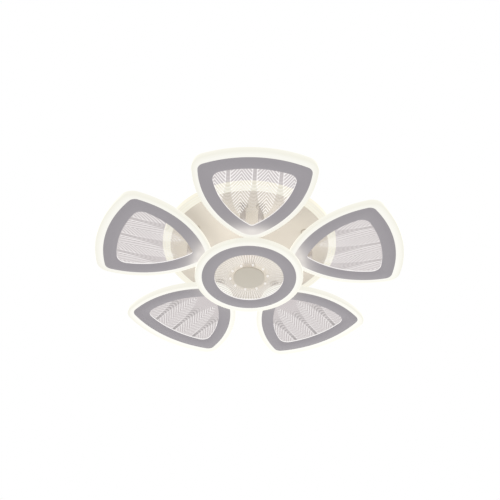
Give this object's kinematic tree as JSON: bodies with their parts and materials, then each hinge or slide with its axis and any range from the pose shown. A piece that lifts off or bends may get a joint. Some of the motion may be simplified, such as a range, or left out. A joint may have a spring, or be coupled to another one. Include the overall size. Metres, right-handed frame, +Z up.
{
  "type": "led ceiling light",
  "caption": "Flower-shaped LED ceiling light: engraved clear petal heads with grey rings round a lower disc head, hung from a round glowing base.",
  "frame": {"origin": "middle of the ceiling bracket's upper face, on the ceiling plane", "axes": "+Z up into the ceiling, the lamp hangs below; petal 1 points along -Y"},
  "size_m": [0.5702, 0.5597, 0.1157],
  "materials": {
    "grey_trim": "satin warm grey paint",
    "lit_acrylic": "clear acrylic lit from its edges, with fine engraved lines in its floor",
    "rim_acrylic": "cream opal acrylic, lit from inside",
    "led_board": "white solder mask with small chips",
    "post_metal": "turned, dull",
    "beige_sheet": "satin beige paint",
    "white_sheet": "satin white paint",
    "zinc_steel": "zinc plated",
    "driver_case": "fine texture",
    "terminal_plastic": "smooth"
  },
  "bodies": {
    "root": {"petal_1_led_boards": "led_board", "petal_2_led_boards": "led_board", "petal_3_led_boards": "led_board", "petal_4_led_boards": "led_board", "petal_5_led_boards": "led_board", "petal_trim_rings": "grey_trim", "petal_acrylic_bodies": "lit_acrylic", "petal_standoffs": "post_metal", "disc_trim_ring": "grey_trim", "disc_acrylic_body": "lit_acrylic", "disc_led_boards": "led_board", "hub_cap": "beige_sheet", "centre_column": "beige_sheet", "centre_stud": "zinc_steel", "face_plate": "beige_sheet", "rim_diffuser": "rim_acrylic", "rim_led_boards": "led_board", "canopy_pan": "white_sheet", "ceiling_bracket": "zinc_steel", "led_driver": "driver_case", "terminal_block": "terminal_plastic"}
  },
  "joints": []
}
